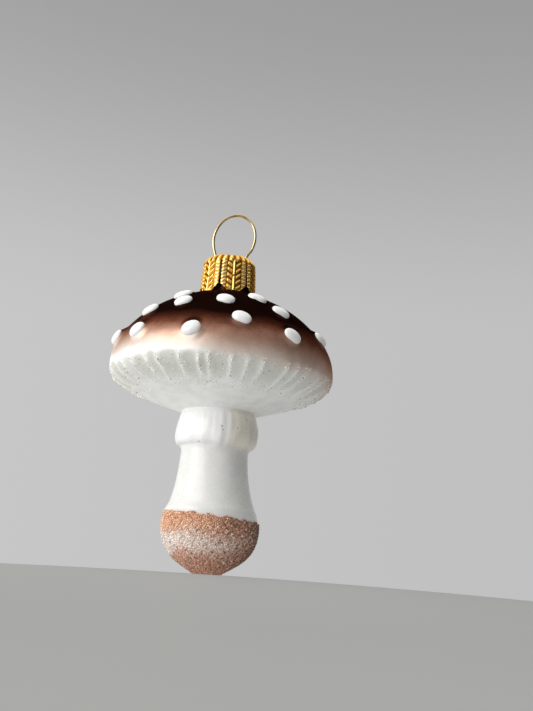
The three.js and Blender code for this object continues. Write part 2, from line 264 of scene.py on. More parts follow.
# Stamped crown, and its pressed pattern: a rope beside each slit, and a leaf with a vein and slanted
# ribs between two ropes.
CROWN_TOP = 76.5
CROWN_RADIUS = 6.44
SKIRT_RADIUS = 6.84
SKIRT_HEIGHT = 66.7
CROWN_SHOULDER = 2.3
CROWN_FLAT = 3.84
CROWN_SHEET = 0.22
LEAF_COUNT = 6
LEAF = FULL_TURN / LEAF_COUNT
SLIT_TURN = math.radians(-19 - 90)
SLIT_WIDTH = 0.42
SLIT_TOP = 74.3
NOTCH_HALF_WIDTH = 1.9
NOTCH_HEIGHT = 1.9
ROPE_HEIGHT = 0.3
ROPE_PITCH = 0.94
VEIN_HEIGHT = 0.28
VEIN_BREAK = 70.5
RIB_HEIGHT = 0.2
RIB_PITCH = 1.45
RIB_SLANT = 2.6
SCALLOP_COUNT = 24
SCALLOP_HEIGHT = 0.16
PATTERN_SINK = 0.18
CROWN_COLUMNS = 324
CROWN_ROWS = 84
SHOULDER_ROWS = 16
COVER_ROWS = 14

# Hanger wire.
WIRE_RADIUS = 0.35
WIRE_SIDES = 18
WIRE_STEPS = 14
HOLE_X = 3.3
HOLE_RADIUS = 0.65
LEG_DEPTHS = (13.0, 6.5, 1.0)
LOOP_HALF_WIDTH = 5.05
LOOP_HALF_LENGTH = 6.5
LOOP_LEAN = 15
LOOP_CENTRE_RISE = 5.6
LOOP_CENTRE_OFFSET = 0.65
LOOP_START = 215
LOOP_END = -30
LOOP_POINTS = 14

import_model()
random = np.random.default_rng(11)


# Curves

def curve(steps, *controls):
    """A Bezier curve with its control points."""
    t = np.linspace(0, 1, steps + 1)[:, None]
    last = len(controls) - 1
    shares = [math.comb(last, i) * (1 - t) ** (last - i) * t**i for i in range(last + 1)]
    return sum(share * np.array(point, float) for share, point in zip(shares, controls))


def through(points, steps, power=0.0):
    """A smooth curve through points, with a number of steps between each two."""
    points = np.array(points, float)
    p = np.vstack([[2 * points[0] - points[1]], points, [2 * points[-1] - points[-2]]])
    gap = np.maximum(np.linalg.norm(np.diff(p, axis=0), axis=1), 1e-6) ** power
    pieces = []
    for i in range(1, len(p) - 2):
        a, b, c, d = p[i - 1:i + 3]
        before, along, after = gap[i - 1:i + 2]
        out = along * ((b - a) / before - (c - a) / (before + along) + (c - b) / along)
        into = along * ((c - b) / along - (d - b) / (along + after) + (d - c) / after)
        pieces.append(curve(steps, b, b + out / 3, c - into / 3, c)[:-1])
    return np.vstack(pieces + [points[-1:]])


def smooth(x):
    """A step from 0 to 1 without corners."""
    x = np.clip(x, 0, 1)
    return x * x * (3 - 2 * x)


def bell(x):
    """A bell that is 1 in its middle."""
    return np.exp(-(x**2))


def around(azimuth, degrees):
    """Signed distance of azimuths from a place, in radians."""
    return (azimuth - math.radians(degrees) + math.pi) % FULL_TURN - math.pi


def circle(count):
    """Angles spaced evenly round the axis."""
    return np.arange(count) * FULL_TURN / count


def normals(rows):
    """Outward direction of each row of a profile that runs up the outside."""
    along = np.gradient(rows, axis=0)
    along /= np.linalg.norm(along, axis=1)[:, None]
    return np.column_stack([along[:, 1], -along[:, 0]])


def inside(rows, distance):
    return rows - normals(rows) * distance


def lengths(rows):
    """Length along a profile from its first row to each row."""
    return np.append(0, np.cumsum(np.linalg.norm(np.diff(rows, axis=0), axis=1)))


def on_profile(rows, places, lift=0.0):
    """Radius and height at lengths along a profile, lifted off it."""
    columns = np.hstack([rows, normals(rows)]).T
    r, z, out_r, out_z = (np.interp(places, lengths(rows), values) for values in columns)
    return r + out_r * lift, z + out_z * lift


def waves(seed, count, turns, rise):
    """A lumpy function of angle and height, between about -1 and 1, that closes round the axis."""
    own = np.random.default_rng(seed)
    n = own.integers(turns[0], turns[1] + 1, count)
    k = own.uniform(-rise, rise, count)
    start = own.uniform(0, FULL_TURN, count)

    def lumps(angle, height):
        total = sum(np.cos(a * angle + b * height + c) for a, b, c in zip(n, k, start))
        return total / math.sqrt(count)

    return lumps


# Meshes

def add_object(name, data):
    made = bpy.data.objects.new(name, data)
    bpy.context.scene.collection.objects.link(made)
    return made


def add_mesh(name, points, faces, flat=False):
    """Adds a mesh with points in millimetres, shaded smooth or flat."""
    mesh = bpy.data.meshes.new(name)
    mesh.from_pydata((points * MM).tolist(), [], faces)
    if not flat:
        mesh.shade_smooth()
    return add_object(name, mesh)


def make(name, shape, body, materials, replaced=(), flat=False):
    """Makes a piece from points, faces and a map for each corner of its faces."""
    points, faces, corners = shape
    piece = add_mesh(name, points, faces, flat)
    layer = piece.data.uv_layers.new(name=MAP_NAME)
    layer.data.foreach_set("uv", np.asarray(corners, np.float32).ravel())
    piece.data.update()
    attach(piece, body)
    if replaced:
        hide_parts(*replaced)
    for material in materials:
        piece.data.materials.append(material)
    return piece


def keep(piece, name, values):
    """Keeps a number or a colour for each point of a piece, for its material."""
    values = np.asarray(values, np.float32)
    kind, field = ("FLOAT", "value") if values.ndim == 1 else ("FLOAT_COLOR", "color")
    layer = piece.data.attributes.new(name, kind, "POINT")
    layer.data.foreach_set(field, values.ravel())


def grid(rows, columns, low=0.0, high=1.0):
    """Faces and map corners of a grid that closes round the axis; its map lies between low and high."""
    i, j = np.meshgrid(np.arange(rows - 1), np.arange(columns), indexing="ij")
    i = np.stack([i, i, i + 1, i + 1], -1)
    j = np.stack([j, j + 1, j + 1, j], -1)
    corners = np.stack([j / columns, low + (high - low) * i / (rows - 1)], -1)
    return (i * columns + j % columns).reshape(-1, 4), corners.reshape(-1, 2)


def fan(tip, first, columns, level=0.0, tip_level=1.0, under=False):
    """Faces and map corners that join a row to a tip, facing up or, under, down."""
    j = np.arange(columns)
    a, b = (j + 1, j) if under else (j, j + 1)
    faces = np.stack([np.full(columns, tip), first + a % columns, first + b % columns], -1)
    u = np.stack([j + 0.5, a, b], -1) / columns
    v = np.broadcast_to([tip_level, level, level], u.shape)
    return faces, np.stack([u, v], -1).reshape(-1, 2)


def turned(rows, angles):
    """Points of a profile turned about the axis, row by row."""
    r, z = np.moveaxis(rows.reshape(len(rows), -1, 2), -1, 0) * np.ones(len(angles))
    return np.stack([r * np.cos(angles), r * np.sin(angles), z], -1)


def closed_turn(points, ends=None):
    """Points, faces and map corners of a turned profile that is closed by two end points."""
    rows, columns = points.shape[:2]
    count = rows * columns
    faces, corners = grid(rows, columns, 0.01, 0.99)
    bottom, bottom_map = fan(count, 0, columns, 0.01, 0.0, under=True)
    top, top_map = fan(count + 1, count - columns, columns, 0.99, 1.0)
    if ends is None:
        ends = points[[0, -1]].mean(1) * (0, 0, 1)
    all_faces = faces.tolist() + bottom.tolist() + top.tolist()
    return np.vstack([points.reshape(-1, 3), ends]), all_faces, np.vstack([corners, bottom_map, top_map])


def granules(name, centres, radii, tints, material, flat=False):
    """Many small glass grains in one piece, each with a tint and a cell of the map of its own."""
    g = (1 + math.sqrt(5)) / 2
    ball = np.array([
        (-1, g, 0), (1, g, 0), (-1, -g, 0), (1, -g, 0), (0, -1, g), (0, 1, g),
        (0, -1, -g), (0, 1, -g), (g, 0, -1), (g, 0, 1), (-g, 0, -1), (-g, 0, 1),
    ]) / math.sqrt(1 + g * g)
    sides = np.array([
        (0, 11, 5), (0, 5, 1), (0, 1, 7), (0, 7, 10), (0, 10, 11), (1, 5, 9), (5, 11, 4),
        (11, 10, 2), (10, 7, 6), (7, 1, 8), (3, 9, 4), (3, 4, 2), (3, 2, 6), (3, 6, 8),
        (3, 8, 9), (4, 9, 5), (2, 4, 11), (6, 2, 10), (8, 6, 7), (9, 8, 1),
    ])
    count = len(centres)
    turn = np.linalg.qr(random.normal(size=(count, 3, 3)))[0]
    turn *= np.sign(np.linalg.det(turn))[:, None, None]
    points = np.einsum("nij,kj->nki", turn, ball) * radii[:, None, None] + centres[:, None]
    faces = sides[None] + len(ball) * np.arange(count)[:, None, None]
    cells = math.ceil(math.sqrt(count))
    cell = np.stack([np.arange(count) % cells, np.arange(count) // cells], -1)
    spread = 0.5 + 0.45 * np.stack([ball[:, 0], ball[:, 1] * 0.6 + ball[:, 2] * 0.6], -1)
    corners = (cell[:, None, None] + spread[sides][None]) / cells
    shape = points.reshape(-1, 3), faces.reshape(-1, 3).tolist(), corners.reshape(-1, 2)
    piece = make(name, shape, "mushroom", [material], flat=flat)
    opaque = np.insert(tints, 3, 1, axis=1)
    keep(piece, "tint", np.repeat(opaque, len(ball), axis=0))


# Materials

class Nodes:
    """Short ways to add nodes to a tree that ends in a shader."""

    def __init__(self, tree, shader):
        self.tree = tree
        self.shader = tree.nodes[shader]

    def add(self, kind, inputs=(), **settings):
        node = self.tree.nodes.new(kind)
        for key, value in settings.items():
            setattr(node, key, value)
        for key, value in dict(inputs).items():
            if isinstance(value, bpy.types.NodeSocket):
                self.tree.links.new(value, node.inputs[key])
            else:
                node.inputs[key].default_value = value
        return node

    def set(self, socket, value):
        self.tree.links.new(value, self.shader.inputs[socket])

    def math(self, operation, a, b=0.5, c=0.0):
        return self.add("ShaderNodeMath", {0: a, 1: b, 2: c}, operation=operation).outputs[0]

    def span(self, value, low, high, start=0.0, end=1.0):
        inputs = {"Value": value, "From Min": low, "From Max": high, "To Min": start, "To Max": end}
        return self.add("ShaderNodeMapRange", inputs).outputs["Result"]

    def ramp(self, value, stops, interpolation="LINEAR"):
        node = self.add("ShaderNodeValToRGB", {"Fac": value})
        node.color_ramp.interpolation = interpolation
        points = node.color_ramp.elements
        while len(points) < len(stops):
            points.new(0.5)
        for point, (at, colour) in zip(points, stops):
            point.position = at
            point.color = (*colour, 1)
        return node.outputs["Color"]

    def levels(self, value, stops, interpolation="LINEAR"):
        """A grey that goes through levels."""
        return self.ramp(value, [(at, (level,) * 3) for at, level in stops], interpolation)

    def mix(self, share, a, b):
        """Mixes a with b, which may be a plain colour."""
        b = (*b, 1) if isinstance(b, tuple) else b
        return self.add("ShaderNodeMix", {0: share, 6: a, 7: b}, data_type="RGBA").outputs[2]


class Paint(Nodes):
    """A material with a Principled shader."""

    def __init__(self, name, **plain):
        self.material = bpy.data.materials.new(name)
        self.material.use_nodes = True
        super().__init__(self.material.node_tree, "Principled BSDF")
        for socket, value in plain.items():
            self.shader.inputs[socket.replace("_", " ")].default_value = value
        self.place = self.add("ShaderNodeTexCoord").outputs["Object"]

    def noise(self, size, detail=2.0, rough=0.5):
        """Noise between 0 and 1 with lumps of about a size in millimetres."""
        inputs = {"Vector": self.place, "Scale": 1 / (size * MM), "Detail": detail, "Roughness": rough}
        return self.add("ShaderNodeTexNoise", inputs).outputs["Fac"]

    def kept(self, name, output="Fac"):
        return self.add("ShaderNodeAttribute", attribute_name=name).outputs[output]

    def mottle(self, noise, dark, light):
        """A colour that goes from dark to light with a noise."""
        return self.ramp(noise, list(zip(NOISE_RANGE, (dark, light))))

    def bump(self, height, depth, strength=1.0):
        inputs = {"Height": height, "Distance": depth * MM, "Strength": strength}
        self.set("Normal", self.add("ShaderNodeBump", inputs).outputs["Normal"])

    def done(self, colour, noise, low, high):
        """The material with a colour, and a roughness that goes from low to high with a noise."""
        self.set("Base Color", colour)
        self.set("Roughness", self.span(noise, *NOISE_RANGE, low, high))
        return self.material


def lacquered_cap():
    """Airbrushed cap: brown lacquer over clouded white, greenish in the valleys under the rim."""
    paint = Paint("lacquered_cap", Specular_IOR_Level=0.0, Specular_Tint=(0.3, 0.18, 0.12, 1))
    grain = paint.noise(0.22, 2.0, 0.7)
    cloud = paint.noise(3.0, 3.0)
    # The paint's thickness also holds a painted highlight under each bump and painted shade above it.
    spray_and_light = paint.kept("spray_and_light")
    for noise, share in ((grain, 0.2), (cloud, 0.1)):
        spray_and_light = paint.math("MULTIPLY_ADD", paint.math("SUBTRACT", noise, 0.5), share, spray_and_light)
    brown = paint.ramp(spray_and_light, [
        (0.12, (0.84, 0.80, 0.74)), (0.24, (0.77, 0.63, 0.54)), (0.36, (0.62, 0.42, 0.325)),
        (0.46, (0.42, 0.23, 0.165)), (0.60, (0.155, 0.061, 0.037)), (0.70, (0.06, 0.02, 0.012)),
        (0.82, (0.009, 0.003, 0.002)),
    ])
    bare = paint.ramp(paint.kept("valley"), [
        (0.0, (0.96, 0.965, 0.94)), (0.3, (0.82, 0.825, 0.775)), (1.0, (0.66, 0.67, 0.60)),
    ])
    bare = paint.mix(paint.span(cloud, 0.42, 0.62, 0.0, 0.4), bare, (0.76, 0.77, 0.72))
    cells = paint.add("ShaderNodeTexVoronoi", {"Vector": paint.place, "Scale": 1 / (0.9 * MM)})
    speck = paint.span(cells.outputs["Distance"], 0.05, 0.11, 0.35, 0.0)
    bare = paint.mix(paint.math("MULTIPLY", speck, paint.kept("dusty")), bare, (0.35, 0.30, 0.24))
    paint.set("Metallic", paint.levels(spray_and_light, [(0.1, 0.1), (0.35, 0.5), (0.6, 0.6), (0.85, 0.1)]))
    paint.bump(grain, 0.02, 0.6)
    return paint.done(paint.mix(paint.span(spray_and_light, 0.1, 0.2), bare, brown), grain, 0.26, 0.38)


def white_glass():
    """White satin glass of the stem and collar, painted whiter on the collar as painted light and tinted
    beige on its shaded side as painted shade, and pitted.
    """
    paint = Paint("white_glass", Coat_Weight=0.3, Coat_Roughness=0.25)
    fine = paint.noise(0.5)
    white = paint.mottle(paint.noise(2.6, 3.0), (0.80, 0.80, 0.775), (0.86, 0.86, 0.84))
    # Painted light: the collar above its lip is painted whiter.
    white = paint.mix(paint.kept("painted_collar_light"), white, (0.96, 0.96, 0.955))
    # Painted shade: the collar's right, shaded side is tinted beige.
    white = paint.mix(paint.kept("painted_collar_shade"), white, (0.86, 0.82, 0.72))
    pit = paint.span(paint.kept("pit"), 0.45, 0.9, 0.0, 0.85)
    paint.bump(fine, 0.03, 0.5)
    return paint.done(paint.mix(pit, white, (0.16, 0.14, 0.10)), fine, 0.22, 0.34)


def bare_glass():
    """Uncoated glass of the neck's bore and the hollow, grey from the lining."""
    paint = Paint("bare_glass", Coat_Weight=0.4, Coat_Roughness=0.08, Metallic=0.3)
    cloud = paint.noise(4.0)
    return paint.done(paint.mottle(cloud, (0.42, 0.41, 0.38), (0.56, 0.55, 0.52)), cloud, 0.14, 0.26)


def grain_glass(name, rough, metal, coat):
    """Small glass grains, each with its own tint, lustrous and glazed to a degree."""
    paint = Paint(name, Coat_Weight=coat, Coat_Roughness=0.1, Specular_IOR_Level=coat, Metallic=metal)
    dust = paint.noise(0.25)
    dusty = paint.span(dust, 0.3, 0.8, 0.0, 0.25)
    tint = paint.mix(dusty, paint.kept("tint", "Color"), (0.75, 0.66, 0.60))
    return paint.done(tint, dust, rough, rough + 0.12)


def bead_bed():
    """Brown binder that the foot's beads sit in, pale where the beads are, with the same painted light on
    the lit side.
    """
    paint = Paint("bead_bed", Specular_IOR_Level=0.3)
    cloud = paint.noise(0.6, 3.0)
    brown = paint.mottle(cloud, (0.42, 0.19, 0.11), (0.62, 0.35, 0.23))
    paint.bump(cloud, 0.08)
    return paint.done(paint.mix(paint.kept("pale"), brown, (0.82, 0.64, 0.55)), cloud, 0.5, 0.7)


def white_enamel():
    """Thick glossy white enamel with faint brush marks."""
    paint = Paint("white_enamel", Coat_Weight=0.5, Coat_Roughness=0.06)
    cloud = paint.noise(0.9)
    paint.bump(cloud, 0.05, 0.4)
    return paint.done(paint.mottle(cloud, (0.93, 0.93, 0.92), (0.96, 0.96, 0.955)), cloud, 0.16, 0.26)


def gold_foil():
    """Bright gold sheet with painted shade and light: darker in the pressed lines, lighter on the raised
    pattern.
    """
    paint = Paint("gold_foil", Metallic=1.0, Specular_Tint=(0.85, 0.45, 0.1, 1))
    cloud = paint.noise(0.8, 3.0)
    gold = paint.ramp(paint.kept("relief"), [
        (0.0, (0.18, 0.06, 0.003)), (0.45, (0.90, 0.47, 0.07)), (1.0, (1.0, 0.78, 0.34)),
    ])
    gold = paint.mix(paint.span(cloud, 0.4, 0.9, 0.0, 0.35), gold, (0.55, 0.30, 0.07))
    paint.bump(paint.noise(0.3), 0.04, 0.5)
    return paint.done(gold, cloud, 0.20, 0.36)


def pale_brass():
    """Pale gold plating of the hanger wire, a little clouded and uneven."""
    paint = Paint("pale_brass", Metallic=1.0, Specular_Tint=(0.3, 0.2, 0.07, 1))
    cloud = paint.noise(1.2, 3.0)
    paint.bump(paint.noise(0.15, 1.0), 0.01, 0.25)
    return paint.done(paint.mottle(cloud, (0.68, 0.53, 0.25), (0.84, 0.72, 0.44)), cloud, 0.09, 0.2)


def floor_paint():
    """Pale floor that keeps the shadow and runs into the backdrop's colour; it glows for diffuse rays."""
    paint = Paint("floor", Roughness=0.6, Specular_IOR_Level=0.2)
    paint.set("Base Color", paint.mottle(paint.noise(240.0), (0.32, 0.32, 0.31), (0.36, 0.36, 0.35)))
    away = paint.add("ShaderNodeVectorMath", {0: paint.place}, operation="LENGTH").outputs["Value"]
    far = paint.span(away, FLOOR_NEAR * MM, FLOOR_FAR * MM)
    backdrop = paint.add("ShaderNodeEmission", {"Color": (*BACKDROP_COLOUR, 1)})
    seen = paint.add("ShaderNodeMixShader", {0: far, 1: paint.shader.outputs[0], 2: backdrop.outputs[0]})
    across = paint.add("ShaderNodeSeparateXYZ", {0: paint.place}).outputs["X"]
    level = paint.span(across, -BOUNCE_REACH * MM, BOUNCE_REACH * MM, BOUNCE_LEFT, BOUNCE_RIGHT)
    bounce = paint.add("ShaderNodeEmission", {"Strength": level})
    rays = paint.add("ShaderNodeLightPath").outputs
    looked = paint.math("MAXIMUM", rays["Is Camera Ray"], rays["Is Glossy Ray"])
    looked = paint.math("MAXIMUM", looked, rays["Is Transmission Ray"])
    both = paint.add("ShaderNodeMixShader", {0: looked, 1: bounce.outputs[0], 2: seen.outputs[0]})
    paint.tree.links.new(both.outputs[0], paint.tree.nodes["Material Output"].inputs["Surface"])
    paint.material.cycles.emission_sampling = "NONE"
    return paint.material


# Shape of the glass

shoulder_rise = APEX_HEIGHT - SHOULDER_HEIGHT
dome_radius = (SHOULDER_RADIUS**2 + shoulder_rise**2) / (2 * shoulder_rise)
dome_centre = APEX_HEIGHT - dome_radius
dome_edge = SHOULDER_RADIUS - SHOULDER_ROUND / 2
dome_edge_height = dome_centre + math.sqrt(dome_radius**2 - dome_edge**2)
neck_foot = NECK_RADIUS + NECK_FILLET
neck_foot_height = dome_centre + math.sqrt(dome_radius**2 - neck_foot**2)


def foot_rows(steps):
    return curve(steps, (FOOT_FLAT_RADIUS, 0), TOE, BULB_SWELL, (BULB_RADIUS, BULB_HEIGHT))


def under_rows(steps):
    return curve(steps, COLLAR_TOP, UNDERSIDE_ROOT, (RIM_RADIUS, RIM_HEIGHT - UNDERSIDE_RIM_DROP),
                 (RIM_RADIUS, RIM_HEIGHT))


def side_rows(steps):
    return curve(steps, (RIM_RADIUS, RIM_HEIGHT), (RIM_RADIUS, RIM_HEIGHT + SIDE_UPRIGHT),
                 (SHOULDER_RADIUS + SHOULDER_ROUND / 2, SHOULDER_HEIGHT - SHOULDER_ROUND),
                 (dome_edge, dome_edge_height))


def dome_rows(steps):
    lean = np.linspace(math.asin(dome_edge / dome_radius), math.asin(neck_foot / dome_radius), steps + 1)
    return np.column_stack([dome_radius * np.sin(lean), dome_centre + dome_radius * np.cos(lean)])


def bulb_rows():
    """Glass of the foot under the coat, with fewer rows at the toe, where they lie close."""
    depth = COAT_THICKNESS + COAT_GAP
    rows = inside(foot_rows(BULB_STEPS), depth)
    return np.vstack([[(FOOT_FLAT_RADIUS / 2, depth)], rows[:32:6], rows[32::2]])


def coat_edge(angle):
    """Height of the coat's leaning upper edge round the foot."""
    return COAT_EDGE_HEIGHT - BULB_RADIUS * np.cos(angle) * math.tan(math.radians(COAT_EDGE_LEAN))


def outside(bulb, steps):
    """Rows of the outside from the foot to the neck, and the name of each row's part."""
    parts = [
        ("foot", bulb),
        ("stem", curve(steps["stem"], STEM_FOOT, STEM_HOLLOW, WAIST)),
        ("collar", through(BEVEL, steps["collar"])[1:]),
        ("collar", curve(3 * steps["collar"], COLLAR_LIP, COLLAR_ROLL, COLLAR_WIDEST)),
        ("collar", curve(7 * steps["collar"], COLLAR_WIDEST, COLLAR_TAPER, COLLAR_TOP)[1:]),
        ("under", under_rows(steps["under"])[1:]),
        ("side", side_rows(steps["side"])[1:]),
        ("dome", dome_rows(steps["dome"])[1:]),
    ]
    names = np.concatenate([[name] * len(part) for name, part in parts])
    return np.vstack([part for _, part in parts]), names


def glass_rows():
    """Rows of the whole glass, up the outside, over the neck's rim and down the hollow, with names."""
    rows, names = outside(bulb_rows(), OUTSIDE_STEPS)
    neck = np.vstack([
        np.add((NECK_RADIUS, neck_foot_height), NECK_FOOT_STEPS),
        np.add((NECK_RADIUS, NECK_TOP), NECK_RIM_STEPS),
    ])
    bore = NECK_RADIUS - NECK_WALL
    coarse, parts = outside(bulb_rows()[::3], HOLLOW_STEPS)
    plain = (parts != "collar") | (coarse[:, 1] == COLLAR_TOP[1])
    lining = inside(coarse, WALL)[plain][::-1]
    lining[:, 0] = np.maximum(lining[:, 0], 0.5)
    hollow = np.vstack([
        [(bore + 0.1, NECK_TOP - 0.1), (bore, NECK_TOP - 0.5), (bore, neck_foot_height - WALL / 2)],
        lining,
    ])
    names = np.concatenate([names, ["neck"] * len(neck), ["hollow"] * len(hollow)])
    return np.vstack([rows, neck, hollow]), names


rim_length = lengths(under_rows(FINE_STEPS))[-1]
gill_angles = (np.arange(GILL_COUNT) + 0.5) * 360 / GILL_COUNT
gill_angles += random.uniform(-GILL_SWAY, GILL_SWAY, GILL_COUNT)
gill_starts = random.uniform(*GILL_STARTS, GILL_COUNT)
gill_strengths = random.uniform(0.1, 1.0, GILL_COUNT)
knob_places = KNOB_PLACE + random.uniform(-0.5, 0.7, GILL_COUNT)
knob_strengths = random.uniform(0.3, 1.0, GILL_COUNT)
arch_feet = ARCH_FOOT - random.uniform(-0.9, 0.6, GILL_COUNT)
valley_strengths = random.uniform(0.4, 0.9, GILL_COUNT)


def gill_relief(angle, along, radius):
    """Height of the gills at a place under the cap, and how deep it lies in a valley, 0 to 1."""
    degrees = np.degrees(angle) % 360
    right = np.searchsorted(gill_angles, degrees) % GILL_COUNT
    left = (right - 1) % GILL_COUNT
    gap = (gill_angles[right] - gill_angles[left]) % 360
    share = ((degrees - gill_angles[left]) % 360) / gap
    near = np.where(share < 0.5, left, right)
    away = np.minimum(share, 1 - share) * np.radians(gap) * radius
    inward = rim_length - along
    starts = smooth((along - gill_starts[near]) / GILL_RISE)
    ends = 1 - 0.85 * smooth((GILL_END - inward) / GILL_FALL)
    beady = 0.8 + 0.2 * np.cos(FULL_TURN * along / (0.8 + 0.5 * gill_strengths[near]) + 2.3 * near)
    ridge = bell(away / GILL_HALF_WIDTH) * starts * ends * beady
    knob = bell((knob_places[near] - inward) / KNOB_HALF_LENGTH) * bell(away / KNOB_HALF_WIDTH)
    arch = arch_feet[left] - ARCH_RISE * np.sqrt(np.clip(4 * share * (1 - share), 0, 1))
    front = bell(((degrees - FRONT_VALLEYS + 180) % 360 - 180) / FRONT_SPREAD)
    valley = (1 - smooth((arch - inward + 1) / ARCH_FADE)) * smooth((VALLEY_REACH - inward) / VALLEY_FADE)
    valley = valley * (1 - bell(away / VALLEY_EDGE)) * np.maximum(valley_strengths[left], front)
    height = GILL_HEIGHT * ridge * gill_strengths[near] + KNOB_HEIGHT * knob * knob_strengths[near]
    return height - VALLEY_DEPTH * valley, valley


def drop_place(azimuth, height):
    """Middle of a drop on the cap, and the directions across it, up it and out of the glass."""
    if height < 0:
        fine = side_rows(SIDE_STEPS)
        at = int(round((1 + height) * SIDE_STEPS))
        r, z = fine[at]
        out_r, out_z = normals(fine)[at]
    else:
        z = dome_edge_height + height * (APEX_HEIGHT - dome_edge_height)
        lean = math.acos((z - dome_centre) / dome_radius)
        out_r, out_z = math.sin(lean), math.cos(lean)
        r = dome_radius * out_r
    turn = math.radians(azimuth - 90)
    c, s = math.cos(turn), math.sin(turn)
    out = np.array([out_r * c, out_r * s, out_z])
    across = np.array([-s, c, 0.0])
    return np.array([r * c, r * s, z]), across, np.cross(out, across), out


def bump_height(away):
    return BUMP_HEIGHT * np.clip(1 - (away / BUMP_RADIUS) ** 2, 0, 1) ** 2


def bump_share(middle, out):
    """Share of the full height of a bump that keeps its drop inside the cap's width and depth."""
    room = min((RIM_RADIUS - abs(middle[k])) / max(abs(out[k]), 1e-6) for k in (0, 1))
    return min(1.0, (room - 1.5 * DROP_THICKNESS) / BUMP_HEIGHT)


places = [drop_place(*place) for place in DROP_PLACES]
collar_lumps = waves(3, 14, (4, 17), 1.3)
collar_creases = waves(5, 10, (18, 40), 0.25)
stem_lumps = waves(8, 8, (2, 7), 0.3)
cap_lumps = waves(9, 8, (3, 9), 0.25)
spray_lumps = waves(13, 8, (2, 11), 0.2)


def collar_shape(angles, heights):
    """How far the collar stands out, how pitted its glass is, and how much painted light whitens it and
    painted shade tints it.
    """
    azimuth = angles + QUARTER_TURN
    share = (heights - WAIST[1]) / (COLLAR_TOP[1] - WAIST[1])
    # A share that rises above the collar's lip: it paints light on the collar and fades in its lumps.
    painted_collar_light = smooth(share / 0.2)
    window = painted_collar_light * smooth((1 - share) / 0.15)
    lift = window * (COLLAR_LUMP * collar_lumps(angles, heights)
                     + COLLAR_CREASE * collar_creases(angles, heights))
    pit = np.zeros(lift.shape)
    for place, height, radius in PITS:
        pit += bell(np.hypot(around(azimuth, place) * COLLAR_WIDEST[0], heights - height) / radius)
    for place, height, half_width in FOLDS:
        broken = 0.65 + 0.35 * np.cos(1.1 * heights + place)
        lift += height * window * broken * bell(around(azimuth, place) * COLLAR_WIDEST[0] / half_width)
    groove = bell((heights - GROOVE_HEIGHT) / GROOVE_HALF_WIDTH)
    lift -= PIT_DEPTH * pit + GROOVE_DEPTH * groove * (0.6 + 0.4 * np.sin(azimuth))
    # Painted shade on the collar's right side, away from the key light.
    painted_collar_shade = smooth(share / 0.1) * smooth((np.sin(azimuth) - 0.02) / 0.5)
    return lift, pit, painted_collar_light, painted_collar_shade


def cap_shape(angles, heights, points):
    """How far the cap's lumps and bumps stand out, and how much more paint the bumps take above and less
    below, partly as painted highlight and shade.
    """
    lift = CAP_LUMP * cap_lumps(angles, heights) * smooth((heights - RIM_HEIGHT) / 4)
    shelter_and_painted_light = np.zeros(lift.shape)
    for middle, _, up, out in places:
        apart = points - middle - BUMP_RISE * up
        height = apart @ out
        away = np.sqrt(np.maximum((apart**2).sum(-1) - height**2, 0))
        raised = np.where(np.abs(height) < BUMP_REACH, bump_height(away) * bump_share(middle, out), 0)
        lift += raised
        shelter_and_painted_light += raised * (apart @ up) / BUMP_RADIUS
    return lift, shelter_and_painted_light


def spray_share(angles, heights, shelter_and_painted_light):
    """How thick the brown paint is on the cap and the neck, 0 to 1, with a painted highlight under each
    bump, painted shade above it, and the neck kept lighter as painted light.
    """
    start = SPRAY_START - SPRAY_LEAN * np.sin(angles + QUARTER_TURN - 0.1)
    start = start + SPRAY_LUMP * spray_lumps(angles, heights)
    cap = SPRAY_FAINT + (1 - SPRAY_FAINT) * (heights - start) / (SPRAY_FULL - start)
    # Painted highlight below each bump and painted shade above it, partly shelter from the spray.
    cap = np.clip(cap + BUMP_SHELTER_AND_LIGHT * shelter_and_painted_light, 0, 1)
    # The neck's paint stays lighter than the top, a painted light where it lies in the crown's shade.
    neck = NECK_SPRAY * (1 - smooth((heights - NECK_SPRAY_TOP) / NECK_SPRAY_FADE))
    return np.where(heights > neck_foot_height + 0.2, neck, cap)


